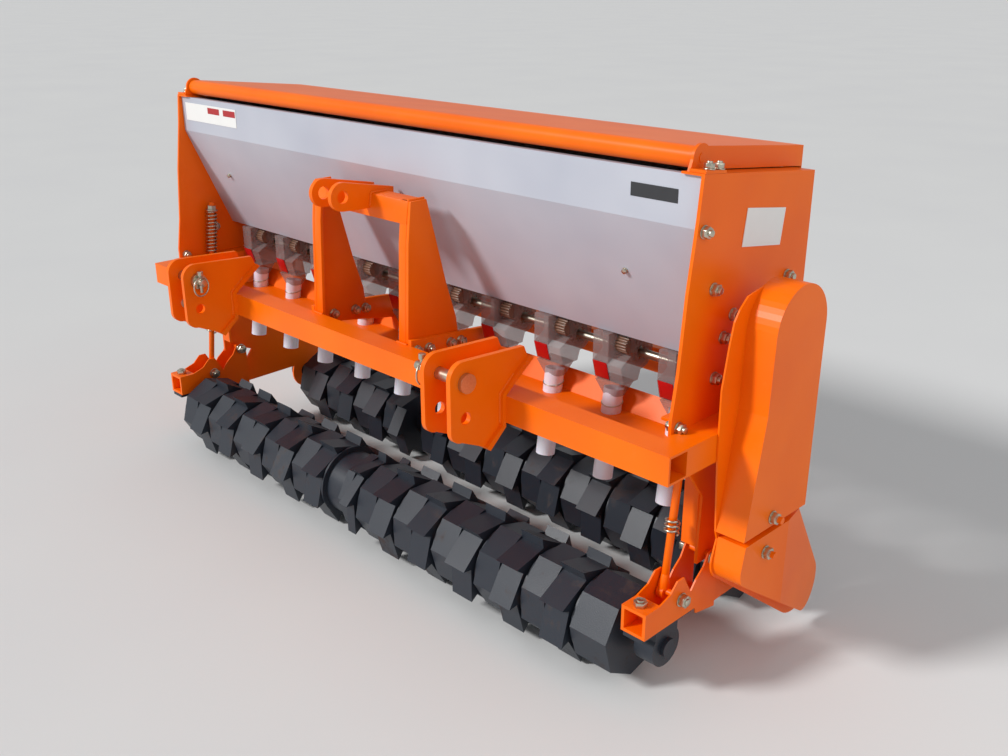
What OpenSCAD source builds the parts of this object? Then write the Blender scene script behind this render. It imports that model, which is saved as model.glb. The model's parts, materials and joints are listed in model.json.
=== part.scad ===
// Three-point mounted seed drill with two notched packer rollers.
// Drawn in millimetres: x runs across the machine, y towards its back, z up.
// The modules measure y from the plane of the feed shaft and x from the middle
// of the hopper; place() then puts the origin under the middle of the machine.

/* [Hopper] */
// Inner distance between the two side plates
inner_w = 1554; // [1500:2:1640]
// Front to back size of the hopper
hopper_d = 310; // [300:2:324]
// Height of the hopper's front edge above the ground
hopper_top_z = 905; // [895:1:925]
// How far the hopper's upper edge falls towards the back
rim_fall = 32; // [24:1:36]
// Height of the vertical band along the hopper's front
band_h = 82; // [60:1:96]
// Height of the hopper's floor above the ground
hopper_floor_z = 576; // [570:1:590]
// Front to back size of the hopper's floor
hopper_floor_d = 94; // [84:1:104]
// Thickness of the hopper's sheet
hopper_t = 3; // [2:0.5:4]

/* [Lid] */
// Thickness of the lid's sheet
lid_t = 2.5; // [2:0.5:4]
// Outer radius of the pipe along the lid's front
roll_r = 17; // [14:1:20]
// Gap under the lid's side skirts
lid_gap = 2; // [1:0.5:4]
// Radius of the lid's two pivot pins
lid_pin_r = 7; // [5:0.5:9]

/* [Side plates] */
// Thickness of the side plates
side_t = 6; // [4:0.5:8]
// Front edge of the side plates at the hopper's upper edge
side_front_top = -162; // [-168:1:-160]
// Front edge of the side plates on the frame
side_front_low = -208; // [-216:1:-200]

/* [Frame] */
// Side of the frame's square tubes
tube_w = 50; // [44:1:56]
// Wall of the frame's square tubes
tube_wall = 4; // [3:0.5:6]
// Height of the underside of the frame above the ground
frame_z = 454; // [446:1:460]
// Front face of the toolbar
toolbar_y = -278; // [-288:1:-272]
// Height of the folded trough behind the toolbar
trough_h = 40; // [30:1:46]
// Thickness of the folded sheets on the frame
fold_t = 4; // [3:0.5:6]

/* [Hitch] */
// Distance between the middles of the two lower hitch points
hitch_w = 875; // [800:1:900]
// Clear distance between the two ears of a lower hitch point
ear_gap = 56; // [50:1:64]
// Thickness of the ears
ear_t = 10; // [8:0.5:12]
// Reach of the ears in front of the toolbar
ear_reach = 122; // [112:1:132]
// Radius of the holes for the lower hitch pins
pin_hole_r = 11.5; // [9.5:0.25:14]
// Radius of the hole for the top link
top_hole_r = 12.75; // [9.5:0.25:13]
// Height of the top link hole above the ground
top_hole_z = 786; // [778:1:796]
// Clear distance between the two top link lugs
lug_gap = 52; // [44:1:60]

/* [Mast] */
// Distance between the outer faces of the two mast plates
mast_w = 236; // [228:1:260]
// Thickness of the mast plates
mast_t = 8; // [6:0.5:10]

/* [Rollers] */
// Flats and teeth on each ring
flats = 8; // [8:1:10]
// Radius over the teeth of the front roller
front_tip_r = 102; // [96:1:106]
// Radius over the teeth of the rear roller
rear_tip_r = 102; // [96:1:106]
// Height of the teeth over the drum
tooth_h = 15; // [10:1:20]
// Radius of the roller shafts
shaft_r = 17.5; // [15:0.5:20]
// Front roller's axis
front_y = -194; // [-198:1:-190]
// Rear roller's axis
rear_y = 153; // [148:1:158]

/* [Seed meters] */
// Distance from one seed meter to the next
meter_pitch = 150; // [144:1:152]
// Seed meters under the hopper
meter_n = 10; // [8:1:10]
// Height of the feed shaft above the ground
feed_z = 533; // [529:1:537]
// Radius of the feed shaft
feed_r = 8; // [6:0.5:9]
// Outer radius of the seed tubes
seed_tube_r = 19; // [16:0.5:21]

/* [Drive] */
// Width of the chain guard
guard_w = 58; // [52:1:66]
// Thickness of the chain guard's sheet
guard_t = 3; // [2:0.5:4]

/* [Hidden] */
$fn = 48;

ORANGE = "darkorange";
IRON = "#23272f";
ZINC = "silver";

// Seats and running fits
eps = 0.3;
run_gap = 0.06;
over = 1;

// Lines that several pieces share
half_w = inner_w / 2;
plate_out = half_w + side_t;
frame_top = frame_z + tube_w;
rail_right_x = plate_out;
rail_left_x = -half_w;
toolbar_l = rail_right_x + tube_w - rail_left_x;
rail_back = hopper_d / 2;
bay_x = rail_left_x + tube_w;
bay_w = half_w - bay_x;
guard_x = rail_right_x + tube_w;
stud_out = 20;

// Rollers stand on the two lowest lines of their teeth
ring_step = 360 / flats;
tip_fall = cos(ring_step / 6);
front_z = front_tip_r * tip_fall;
rear_z = rear_tip_r * tip_fall;
end_clear = 49;
roller_w = inner_w - 2 * end_clear;
pitches = 11.73;
ring_pitch = roller_w / pitches;
ring_gap = 5;
shaft_out = 28;

// Arms of the front roller, which straddle the side plates
arm_w = 51;
arm_wall = 3;
arm_in = half_w - 33;
arm_low = front_z + 47;
front_shaft_end = arm_in + arm_w + 3;
pivot_y = -80;
pivot_z = arm_low + 88;
pivot_r = 6;
post_y = pivot_y - 28;

// Spring rods
rod_r = 7;
rod_x = half_w - 20;
rod_y = -166;
rod_z = arm_low + 40;
rod_top_z = frame_top + 135;

// Whole machine
machine_left = -plate_out - shaft_out;
machine_right = guard_x + guard_w + stud_out;
machine_front = toolbar_y - ear_reach;
machine_back = rear_y + rear_z;
mid_x = (machine_left + machine_right) / 2;
mid_y = (machine_front + machine_back) / 2;

// Upper edge of the hopper, which falls evenly towards the back
function rim(y) = hopper_top_z - (y + hopper_d / 2) * rim_fall / hopper_d;

// Front of the hopper's sloping wall at the height z
slope_top = hopper_top_z - band_h;
function slope_y(z) = -hopper_d / 2
    + (slope_top - z) / (slope_top - hopper_floor_z) * (hopper_d - hopper_floor_d) / 2;

// The lid turns on the pipe along its front
flange_t = 4;
flange_in = half_w - 37;
back_flange = 25;
roll_y = 24 - hopper_d / 2;
roll_z = hopper_top_z + flange_t + roll_r + 1;
lid_half = flange_in + 7;
lid_back = hopper_d / 2 + back_flange - 3;
function lid_top(y) = roll_z + roll_r - (y - roll_y) * rim_fall / hopper_d;
function skirt_z(y) = rim(y) + flange_t + lid_gap;
bracket_x = lid_half + 2;
bracket_t = 5;
bracket_r = 22;

// Puts the ground's middle under the machine at the origin
module place() {
    translate([-mid_x, -mid_y, 0]) children();
}

// Extrudes an outline drawn in y and z from x = x0 over the width w
module slab(x0, w) {
    translate([x0, 0, 0]) rotate([90, 0, 90]) linear_extrude(w) children();
}

// A piece on the right together with its mirror image on the left
module both_sides() {
    children();
    mirror([1, 0, 0]) children();
}

// Round bar along x
module bar(x0, w, y, z, r) {
    translate([x0, y, z]) rotate([0, 90, 0]) cylinder(r = r, h = w);
}

// Square tube along x
module tube_x(x0, w, y, z) {
    slab(x0, w) translate([y, z]) difference() {
        square(tube_w);
        translate([tube_wall, tube_wall]) square(tube_w - 2 * tube_wall);
    }
}

// Square tube along y
module tube_y(x, y0, l, z) {
    translate([x, y0, z]) difference() {
        cube([tube_w, l, tube_w]);
        translate([tube_wall, -over, tube_wall])
            cube([tube_w - 2 * tube_wall, l + 2 * over, tube_w - 2 * tube_wall]);
    }
}

module toolbar() {
    color(ORANGE) place() tube_x(rail_left_x, toolbar_l, toolbar_y, frame_z);
}

// Side rail; the left one has the hole for the spring rod
module side_rail(x) {
    color(ORANGE) place() difference() {
        tube_y(x, toolbar_y + tube_w, rail_back - toolbar_y - tube_w, frame_z);
        translate([-rod_x, rod_y, frame_z - over])
            cylinder(r = rod_r + eps, h = tube_w + 2 * over);
    }
}

module rear_beam() {
    color(ORANGE) place() tube_x(bay_x, bay_w, rail_back - tube_w, frame_z);
}

// Outline of a side plate in y and z: the front edge, the post that the arm
// pivots on, the notch over the arm's end and the round end at the rear axis
lobe_r = 50;
plate_back = hopper_d / 2 + 4;
module side_outline() {
    polygon([[side_front_top, rim(side_front_top) + flange_t],
        [side_front_top - 7, frame_top + 337], [side_front_top - 23, frame_top + 224],
        [side_front_low + 12, frame_top + 99], [side_front_low, frame_top + 23],
        [side_front_low, frame_z], [side_front_low + 52, frame_z - 30],
        [post_y + 3, frame_z - 97], [post_y, pivot_z + 21], [post_y, pivot_z - 11],
        [pivot_y + 18, pivot_z - 11], [pivot_y + 54, pivot_z - 25],
        [pivot_y + 28, pivot_z - 61], [pivot_y + 33, rear_z + 20],
        [rear_y, rear_z + 24], [rear_y + lobe_r, rear_z],
        [plate_back, frame_z], [plate_back, rim(plate_back) + flange_t]]);
    translate([rear_y, rear_z]) circle(lobe_r);
}

// Side plate drawn for the right side, with the feed shaft's boss
feed_boss = 10;
module side_plate() {
    difference() {
        union() {
            slab(half_w, side_t) side_outline();
            bar(half_w, side_t + feed_boss, 0, feed_z, feed_r + 8);
        }
        bar(half_w - over, side_t + 2 * over, rear_y, rear_z, shaft_r + 5);
        bar(half_w - over, 2 * side_t + feed_boss, 0, feed_z, feed_r + run_gap);
        bar(half_w - over, side_t + 2 * over, pivot_y, pivot_z, pivot_r + eps);
    }
}

module side_plate_left() {
    color(ORANGE) place() mirror([1, 0, 0]) side_plate();
}

module side_plate_right() {
    color(ORANGE) place() side_plate();
}

// Inward flanges along the upper edges of the side plates, over the hopper's ends
module rim_flanges() {
    color(ORANGE) place() both_sides() slab(flange_in, half_w - flange_in) polygon([
        [side_front_top, rim(side_front_top) + eps], [plate_back, rim(plate_back) + eps],
        [plate_back, rim(plate_back) + flange_t],
        [side_front_top, rim(side_front_top) + flange_t]]);
}

// Inward flanges along the front edges of the posts
post_flange = 30;
module post_flanges() {
    low = pivot_z + 21;
    color(ORANGE) place() both_sides() translate([half_w - post_flange, post_y, low])
        cube([post_flange, side_t, frame_z - low]);
}

// Bracket on the right side plate that the spring rod passes through
rod_bracket_w = 60;
module rod_bracket() {
    color(ORANGE) place() difference() {
        translate([rod_x - rod_bracket_w / 2, side_front_low + over, frame_top - side_t])
            cube([half_w - rod_x + rod_bracket_w / 2, rod_bracket_w, side_t]);
        translate([rod_x, rod_y, frame_top - 2 * side_t])
            cylinder(r = rod_r + eps, h = 3 * side_t);
    }
}

// Mast plate with its front flange, drawn for the right side
mast_front = toolbar_y + 40;
mast_top = top_hole_z;
mast_clear = 4;
mast_flange = 46;
meter_front = -60;
function mast_rear(z) = let (t = (mast_top - z) / (mast_top - frame_top))
    (1 - t) * (slope_y(mast_top) - mast_clear) + t * (meter_front - mast_clear);
module mast_plate() {
    slab(mast_w / 2 - mast_t, mast_t)
        polygon([[mast_front, frame_top], [mast_front, mast_top],
            [mast_rear(mast_top), mast_top], [mast_rear(frame_top), frame_top]]);
    translate([mast_w / 2 - mast_flange, mast_front, frame_top])
        cube([mast_flange, mast_t, mast_top - frame_top]);
}

module mast_plate_right() {
    color(ORANGE) place() mast_plate();
}

module mast_plate_left() {
    color(ORANGE) place() mirror([1, 0, 0]) mast_plate();
}

// Shelf between the mast plates, just under the lugs
lug_r = 28;
shelf_top = top_hole_z - lug_r - 2;
shelf_front = mast_front + mast_t;
module mast_cross_plate() {
    w = mast_w - 2 * mast_t;
    color(ORANGE) place() translate([-w / 2, shelf_front, shelf_top - mast_t])
        cube([w, mast_rear(shelf_top) - shelf_front - 2, mast_t]);
}

// Two ears for the top link on the shelf
lug_y = mast_front - 37;
lug_h = 34;
module top_link_lugs() {
    seat = shelf_top + eps;
    color(ORANGE) place() difference() {
        both_sides() slab(lug_gap / 2, ear_t) hull() {
            translate([lug_y, top_hole_z]) circle(lug_r, $fn = 32);
            translate([shelf_front, seat])
                square([mast_rear(seat + lug_h) - shelf_front - 6, lug_h]);
        }
        bar(-mast_w / 4, mast_w / 2, lug_y, top_hole_z, top_hole_r);
    }
}

// Bolted straps from the toolbar's top back to the mast
strap_t = 10;
strap_back = -40;
module mast_strap() {
    slab(mast_w / 2, strap_t) polygon([[toolbar_y + 4, frame_top],
        [meter_front + 4, frame_top], [strap_back, frame_top + 16],
        [strap_back, frame_top + 56], [toolbar_y + 30, frame_top + 62],
        [toolbar_y + 4, frame_top + 40]]);
}

module mast_strap_right() {
    color(ORANGE) place() mast_strap();
}

module mast_strap_left() {
    color(ORANGE) place() mirror([1, 0, 0]) mast_strap();
}

// Outline of a lower hitch ear in y and z
seat_t = 8;
seat_side = 8;
pin_z = frame_top + 47;
low_hole_z = frame_top - 18;
pin_y = toolbar_y - ear_reach + 34;
ear_r = 30;
toe_r = 24;
module ear_outline() {
    f = toolbar_y - ear_reach;
    toe_z = low_hole_z - 18;
    difference() {
        union() {
            translate([f + ear_r, pin_z + 8]) circle(ear_r);
            translate([f + toe_r, toe_z]) circle(toe_r);
            polygon([[f, toe_z], [f, pin_z + 8], [f + ear_r, pin_z + 8 + ear_r],
                [toolbar_y + 52, pin_z + 30], [toolbar_y + 60, pin_z + 12],
                [toolbar_y + 26, frame_top + 34], [toolbar_y - seat_t, frame_top + 4],
                [toolbar_y - seat_t, frame_z - 4], [toolbar_y - 46, frame_z - 34],
                [f + toe_r, toe_z - toe_r]]);
        }
        translate([pin_y, pin_z]) circle(pin_hole_r);
        translate([pin_y, low_hole_z]) circle(pin_hole_r);
    }
}

// Pair of ears with the cranked seat that joins them to the toolbar
module hitch_ears(x) {
    color(ORANGE) place() {
        for (s = [-1, 1])
            slab(x + s * (ear_gap + ear_t) / 2 - ear_t / 2, ear_t) ear_outline();
        slab(x - ear_gap / 2 - ear_t - seat_side, ear_gap + 2 * (ear_t + seat_side))
            polygon([[toolbar_y - seat_t, frame_top + 4], [toolbar_y + 26, frame_top + 34],
                [toolbar_y + 60, pin_z + 12], [toolbar_y + 68, pin_z + 6],
                [toolbar_y + 32, frame_top + 26], [toolbar_y, frame_top],
                [toolbar_y, frame_z - 8], [toolbar_y - 38, frame_z - 42],
                [toolbar_y - 46, frame_z - 34], [toolbar_y - seat_t, frame_z - 4]]);
    }
}

// Hitch pin with its head, which passes through both ears
pin_r = pin_hole_r - 0.25;
pin_tail = 26;
pin_head_t = 8;
module hitch_pin(x) {
    w = ear_gap + 2 * ear_t;
    color(ZINC) place() {
        bar(x - w / 2 - pin_tail, w + pin_tail + 2 * eps, pin_y, pin_z, pin_r);
        bar(x + w / 2 + eps, pin_head_t, pin_y, pin_z, pin_r + 6);
    }
}

// Outline of the hopper in y and z
module hopper_outline() {
    d = hopper_d / 2;
    f = hopper_floor_d / 2;
    polygon([[-d, rim(-d)], [-d, slope_top], [-f, hopper_floor_z], [f, hopper_floor_z],
        [d, slope_top], [d, rim(d)]]);
}

// The hopper is open at the top. Its flat sheets meet edge to edge at the folds:
// two ends, an upright band and a slope at the front and the back, and a floor
inside = half_w - hopper_t;
module hopper_ends() {
    color("gainsboro") place() both_sides() slab(inside, hopper_t - eps) hopper_outline();
}

module hopper_bands() {
    color("gainsboro") place() for (y = [-hopper_d / 2, hopper_d / 2 - hopper_t])
        slab(-inside, 2 * inside) polygon([[y, slope_top], [y + hopper_t, slope_top],
            [y + hopper_t, rim(y + hopper_t)], [y, rim(y)]]);
}

// A slope is as thick as the other sheets, so it is a little wider where it is level
floor_top = hopper_floor_z + hopper_t;
slope_lean = (hopper_d - hopper_floor_d) / 2 / (slope_top - hopper_floor_z);
slope_t = hopper_t * sqrt(1 + slope_lean * slope_lean);
module hopper_slopes() {
    color("gainsboro") place() for (back = [0, 1]) mirror([0, back, 0])
        slab(-inside, 2 * inside) polygon([[slope_y(slope_top), slope_top],
            [slope_y(slope_top) + slope_t, slope_top],
            [slope_y(floor_top) + slope_t, floor_top], [slope_y(floor_top), floor_top]]);
}

outlet_w = 36;
module hopper_floor() {
    color("gainsboro") place() difference() {
        slab(-inside, 2 * inside) polygon([[slope_y(hopper_floor_z), hopper_floor_z],
            [-slope_y(hopper_floor_z), hopper_floor_z], [-slope_y(floor_top), floor_top],
            [slope_y(floor_top), floor_top]]);
        for (i = [0:meter_n - 1])
            translate([meter_x(i) - outlet_w / 2, -outlet_w / 2, hopper_floor_z - over])
                cube([outlet_w, outlet_w, hopper_t + 2 * over]);
    }
}

// A strip along the hopper's rim from y = a to y = b, out to x = half
module rim_strip(half, a, b) {
    slab(-half, 2 * half) polygon([[a, rim(a)], [a, rim(a) - hopper_t],
        [b, rim(b) - hopper_t], [b, rim(b)]]);
}

// Lip under the lid's pipe, and the flange along the back that the lid rests on
module hopper_flanges() {
    d = hopper_d / 2;
    color("gainsboro") place() {
        rim_strip(inside - eps, hopper_t + eps - d, roll_y);
        rim_strip(flange_in - over, d + eps, d + back_flange);
    }
}

// Lid: a pan with skirts, which hangs on the pipe along its front
skirt_front = roll_y + 22;
module lid() {
    color(ORANGE) place() {
        slab(-lid_half, 2 * lid_half) polygon([[roll_y, lid_top(roll_y) - lid_t],
            [lid_back, lid_top(lid_back) - lid_t], [lid_back, lid_top(lid_back)],
            [roll_y, lid_top(roll_y)]]);
        slab(-lid_half, 2 * lid_half) translate([lid_back - lid_t, rim(lid_back - lid_t) + eps])
            square([lid_t, lid_top(lid_back) - rim(lid_back - lid_t) - over]);
        difference() {
            bar(-lid_half, 2 * lid_half, roll_y, roll_z, roll_r);
            bar(lid_t - lid_half, 2 * (lid_half - lid_t), roll_y, roll_z, roll_r - lid_t);
        }
        both_sides() {
            slab(lid_half - lid_t, lid_t) polygon([[roll_y, roll_z],
                [skirt_front, skirt_z(skirt_front)], [lid_back, skirt_z(lid_back)],
                [lid_back, lid_top(lid_back) - over], [roll_y, lid_top(roll_y) - over]]);
            bar(lid_half - over, bracket_x + bracket_t + 2 * over - lid_half,
                roll_y, roll_z, lid_pin_r);
        }
    }
}

// Brackets at both ends of the lid's pipe, bolted down on the side plates
bracket_front = roll_y - 29;
bracket_back = roll_y + 25;
function seat_line(y) = rim(y) + flange_t + eps;
module lid_brackets() {
    color(ORANGE) place() both_sides() {
        slab(bracket_x, bracket_t) difference() {
            union() {
                translate([roll_y, roll_z]) circle(bracket_r);
                polygon([[roll_y - bracket_r, roll_z], [roll_y + bracket_r, roll_z],
                    [bracket_back, seat_line(bracket_back)],
                    [bracket_front, seat_line(bracket_front)]]);
            }
            polygon([[bracket_front - over, seat_line(bracket_front - over)],
                [bracket_back + over, seat_line(bracket_back + over)],
                [bracket_back + over, slope_top], [bracket_front - over, slope_top]]);
            translate([roll_y, roll_z]) circle(lid_pin_r + run_gap);
        }
        slab(bracket_x + bracket_t - over, plate_out - bracket_x - bracket_t + over) polygon([
            [bracket_front, seat_line(bracket_front)], [bracket_back, seat_line(bracket_back)],
            [bracket_back, seat_line(bracket_back) + bracket_t],
            [bracket_front, seat_line(bracket_front) + bracket_t]]);
    }
}

function meter_x(i) = (i - (meter_n - 1) / 2) * meter_pitch;

// Clear meter housings, each a box with a round belly and a spout in front
funnel_y = -34;
funnel_z = feed_z - 62;
meter_half = 34;
meter_wall = 4;
belly_r = 32;
module meter_housings() {
    spout_z = funnel_z + 10;
    color("lightslategray") place() for (i = [0:meter_n - 1]) difference() {
        slab(meter_x(i) - meter_half, 2 * meter_half) union() {
            translate([0, feed_z]) circle(belly_r);
            translate([-belly_r, feed_z]) square([2 * belly_r, hopper_floor_z - feed_z - eps]);
            polygon([[-belly_r, feed_z], [meter_front, feed_z - 16], [meter_front + 10, spout_z],
                [-8, spout_z], [0, feed_z - 30]]);
        }
        bar(meter_x(i) - meter_half + meter_wall, 2 * (meter_half - meter_wall), 0, feed_z,
            belly_r - 6);
        bar(meter_x(i) - meter_half - over, 2 * (meter_half + over), 0, feed_z, feed_r + 5);
        translate([meter_x(i) - outlet_w / 2, -outlet_w / 2, feed_z])
            cube([outlet_w, outlet_w, hopper_floor_z - feed_z + over]);
    }
}

// Sliding shutters on the front of the housings
shutter_w = 48;
shutter_t = 4;
shutter_h = 30;
module meter_shutters() {
    color("red") place() for (i = [0:meter_n - 1])
        translate([meter_x(i) - shutter_w / 2, -belly_r - shutter_t - eps, feed_z + 4])
            cube([shutter_w, shutter_t, shutter_h]);
}

// Feed shaft with the fluted feed rollers
feed_out = 24;
flutes = 10;
flute_h = 14;
flute_w = 6;
fluted_w = 44;
module feed_shaft() {
    left = -plate_out - feed_out;
    color(ZINC) place() {
        bar(left, guard_x + guard_t + stud_out - left, 0, feed_z, feed_r);
        for (i = [0:meter_n - 1]) slab(meter_x(i) - fluted_w / 2, fluted_w)
            translate([0, feed_z]) for (k = [0:flutes - 1]) rotate(k * 360 / flutes)
                translate([feed_r - 2, -flute_w / 2]) square([flute_h, flute_w]);
    }
}

// Funnels under the meters, which lead into the seed tubes
tube_lean = 26;
tube_foot_z = 286;
tube_t = 2.5;
funnel_w = 56;
funnel_d = 40;
funnel_h = 10;
module seed_funnels() {
    color("white") place() for (i = [0:meter_n - 1])
        translate([meter_x(i), funnel_y, funnel_z]) difference() {
            translate([-funnel_w / 2, -funnel_d / 2, 0]) cube([funnel_w, funnel_d, funnel_h - eps]);
            translate([0, 0, -over]) cylinder(r = seed_tube_r - tube_t, h = funnel_h + 2 * over);
        }
}

// Folded trough behind the toolbar, with a hole for each seed tube
module tube_trough() {
    low = frame_z - trough_h;
    front = toolbar_y + tube_w;
    color(ORANGE) place() difference() {
        slab(bay_x, bay_w - tube_w + 5)
            polygon([[front, frame_z + 6], [-150, low], [-20, low], [4, frame_z],
                [4 - fold_t, frame_z + 3], [-18 - fold_t, low + fold_t],
                [fold_t - 152, low + fold_t], [front, frame_z + 6 + fold_t]]);
        for (i = [0:meter_n - 1]) seed_tube_path(i, seed_tube_r + eps);
    }
}

// A cylinder along the leaning seed tube i, from its funnel down to its foot
module seed_tube_path(i, r) {
    l = funnel_z - tube_foot_z;
    translate([meter_x(i), funnel_y, funnel_z - eps]) rotate([-atan(tube_lean / l), 0, 0])
        translate([0, 0, -l]) cylinder(r = r, h = l - 7);
}

module seed_tubes() {
    color("whitesmoke") place() for (i = [0:meter_n - 1]) difference() {
        seed_tube_path(i, seed_tube_r);
        translate([0, 0, over]) seed_tube_path(i, seed_tube_r - tube_t);
        translate([0, 0, -5 * over]) seed_tube_path(i, seed_tube_r - tube_t);
    }
}

// One packer ring along x: a round rim, an eight-sided drum, and flat plates
// whose edges stand off the drum like the teeth of a ratchet
rim_w = 6;
drum_share = 0.53;
module ring(tip_r, turn, share, toothed) {
    root_r = tip_r - tooth_h;
    w = share * ring_pitch - ring_gap;
    drum_w = toothed ? w * drum_share : w;
    rotate([90, 0, 90]) rotate(turn) {
        linear_extrude(rim_w) circle(root_r * cos(ring_step / 2) - 3);
        translate([0, 0, rim_w]) linear_extrude(drum_w - rim_w) circle(root_r, $fn = flats);
        if (toothed) translate([0, 0, drum_w]) linear_extrude(w - drum_w)
            polygon([for (k = [0:flats - 1]) for (e = [0, 1])
                let (a = k * ring_step + (e == 0 ? 0.01 : ring_step),
                    r = e == 0 ? root_r - 5 : tip_r)
                [r * cos(a), r * sin(a)]]);
    }
}

// Rings of the two rollers, each as [start, width] in shares of the pitch
RING_START = 0;
RING_WIDTH = 1;
front_rings = [[0, 1], [1, 1], [2, 1], [3, 1], [4, 1], [5.48, 0.5], [5.98, 1], [6.98, 1],
    [7.98, 1], [8.98, 1], [9.98, 1], [10.98, 0.75]];
rear_rings = [[0.22, 1], [1.22, 1], [2.22, 1], [3.22, 0.7], [4.43, 0.82], [5.25, 1],
    [6.25, 1], [7.25, 1], [8.25, 1], [9.25, 1], [10.25, 1], [11.25, 0.48]];

// A roller: its rings on a hub, on a shaft that ends at x = left and x = right
module roller(tip_r, y, rings, left, right) {
    z = tip_r * tip_fall;
    last = len(rings) - 1;
    color(IRON) place() {
        for (i = [0:last])
            translate([rings[i][RING_START] * ring_pitch + (ring_gap - roller_w) / 2, y, z])
                ring(tip_r, ring_step / 3 * (i % 3) + ring_step / 6, rings[i][RING_WIDTH], i < last);
        bar(-roller_w / 2 + ring_gap, roller_w - 2 * ring_gap, y, z, 2 * shaft_r);
        bar(left, right - left, y, z, shaft_r);
    }
}

// The front roller has a flange and a thick hub in the gap beside its middle
hub_start = 5;
hub_share = 0.48;
hub_flange_t = 5;
module front_roller() {
    x = hub_start * ring_pitch - roller_w / 2;
    roller(front_tip_r, front_y, front_rings, -front_shaft_end, front_shaft_end);
    color(IRON) place() {
        bar(x, hub_flange_t, front_y, front_z, front_tip_r - tooth_h - 4);
        bar(x, hub_share * ring_pitch + ring_gap, front_y, front_z, front_tip_r - 2 * tooth_h);
    }
}

module rear_roller() {
    roller(rear_tip_r, rear_y, rear_rings, machine_left, guard_x + guard_t + 12);
}

// Side view of an arm's two cheeks: the seat of the front block, the peak at the
// spring rod, the notch behind it and the lug on the pivot
block_front = front_y - 70;
block_back = front_y - 31;
block_h = 50;
module arm_outline() {
    polygon([[block_back - over, arm_low], [block_back - over, arm_low + block_h],
        [rod_y - 30, arm_low + 60], [rod_y - 12, arm_low + 78], [rod_y + 6, arm_low + 78],
        [rod_y + 28, arm_low + 39], [post_y - 16, arm_low + 57], [post_y + 4, pivot_z - 14],
        [pivot_y - 12, pivot_z + 8], [pivot_y + 2, pivot_z + 11], [pivot_y + 15, pivot_z],
        [pivot_y + 18, pivot_z - 37], [pivot_y + 18, arm_low - 23],
        [post_y - 10, arm_low - 13], [post_y - 14, arm_low]]);
}

// Arm that carries one end of the front roller, drawn for the right side
module roller_arm() {
    inner = arm_w - 2 * arm_wall;
    slab(arm_in, arm_wall) arm_outline();
    slab(arm_in + arm_w - arm_wall, arm_wall) arm_outline();
    translate([arm_in, block_back - over, arm_low])
        cube([arm_w, pivot_y + 18 - block_back + over, arm_wall]);
    translate([arm_in, block_back - over, arm_low]) cube([arm_w, arm_wall, block_h]);
    difference() {
        translate([arm_in, block_front, arm_low])
            cube([arm_w, block_back - block_front, block_h]);
        translate([arm_in + 2 * arm_wall, block_front - over, arm_low + 2 * arm_wall])
            cube([inner - 2 * arm_wall, block_back - block_front + 2 * over,
                block_h - 4 * arm_wall]);
    }
    bar(arm_in + over, arm_w - 2 * over, pivot_y, pivot_z, pivot_r);
    bar(arm_in + over, arm_w - 2 * over, rod_y, rod_z, pivot_r);
}

module roller_arm_right() {
    color(ORANGE) place() roller_arm();
}

module roller_arm_left() {
    color(ORANGE) place() mirror([1, 0, 0]) roller_arm();
}

// Pillow block bearings bolted under the arms
bearing_r = 38;
block_w = 40;
base_l = 140;
base_h = 8;
module front_bearings() {
    top = arm_low - eps;
    color(IRON) place() both_sides() slab(arm_in + (arm_w - block_w) / 2, block_w)
        difference() {
            union() {
                translate([front_y, front_z]) circle(bearing_r);
                translate([front_y - base_l / 2, top - base_h]) square([base_l, base_h]);
                translate([front_y - bearing_r * 0.8, front_z])
                    square([bearing_r * 1.6, top - front_z]);
            }
            translate([front_y, front_z]) circle(shaft_r + run_gap);
        }
}

// Flange bearings on the outside of the side plates
flange_bearing_w = 24;
module rear_bearings() {
    color(IRON) place() both_sides() slab(plate_out, flange_bearing_w)
        translate([rear_y, rear_z]) difference() {
            circle(bearing_r - 2);
            circle(shaft_r + run_gap);
        }
}

// Spring rod from its eye in the arm up through the frame
eye_r = 13;
eye_w = 14;
module spring_rod(s) {
    x = s * rod_x;
    color(ORANGE) place() difference() {
        union() {
            translate([x, rod_y, rod_z]) cylinder(r = rod_r, h = rod_top_z - rod_z);
            bar(x - eye_w / 2, eye_w, rod_y, rod_z, eye_r);
        }
        bar(x - eye_w, 2 * eye_w, rod_y, rod_z, pivot_r + eps);
    }
}

// Coil spring round a rod from the height z upwards: rings on a thin sleeve
spring_r = 14;
wire_r = 2;
top_spring_h = 112;
low_spring_h = 31;
low_spring_z = frame_z - 162;
coil_pitch = 8.5;
module spring(s, z, h) {
    n = floor(h / coil_pitch);
    translate([s * rod_x, rod_y, z]) {
        difference() {
            cylinder(r = spring_r - wire_r, h = h);
            translate([0, 0, -over]) cylinder(r = rod_r + eps, h = h + 2 * over);
        }
        for (k = [0:n - 1]) translate([0, 0, (k + 0.5) * h / n])
            rotate_extrude() translate([spring_r - wire_r, 0]) circle(wire_r, $fn = 16);
    }
}

module springs() {
    color(ZINC) place() for (s = [-1, 1]) {
        spring(s, frame_top + eps, top_spring_h);
        spring(s, low_spring_z, low_spring_h);
    }
}

// Outline of the chain guard's cover in y and z
guard_y = -24;
guard_z = feed_z + 128;
guard_r = 75;
guard_front = guard_y - 116;
guard_rear = guard_y + guard_r - 1;
seam_z = feed_z - 209;
seam_h = 12;
module cover_outline() {
    hull() {
        translate([guard_y, guard_z]) circle(guard_r);
        translate([guard_front + 37, feed_z]) square([guard_rear - guard_front - 37, over]);
    }
    polygon([[guard_front + 37, feed_z + over], [guard_front + 10, seam_z + 54],
        [guard_front, seam_z], [guard_rear, seam_z], [guard_rear, feed_z + over]]);
}

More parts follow.
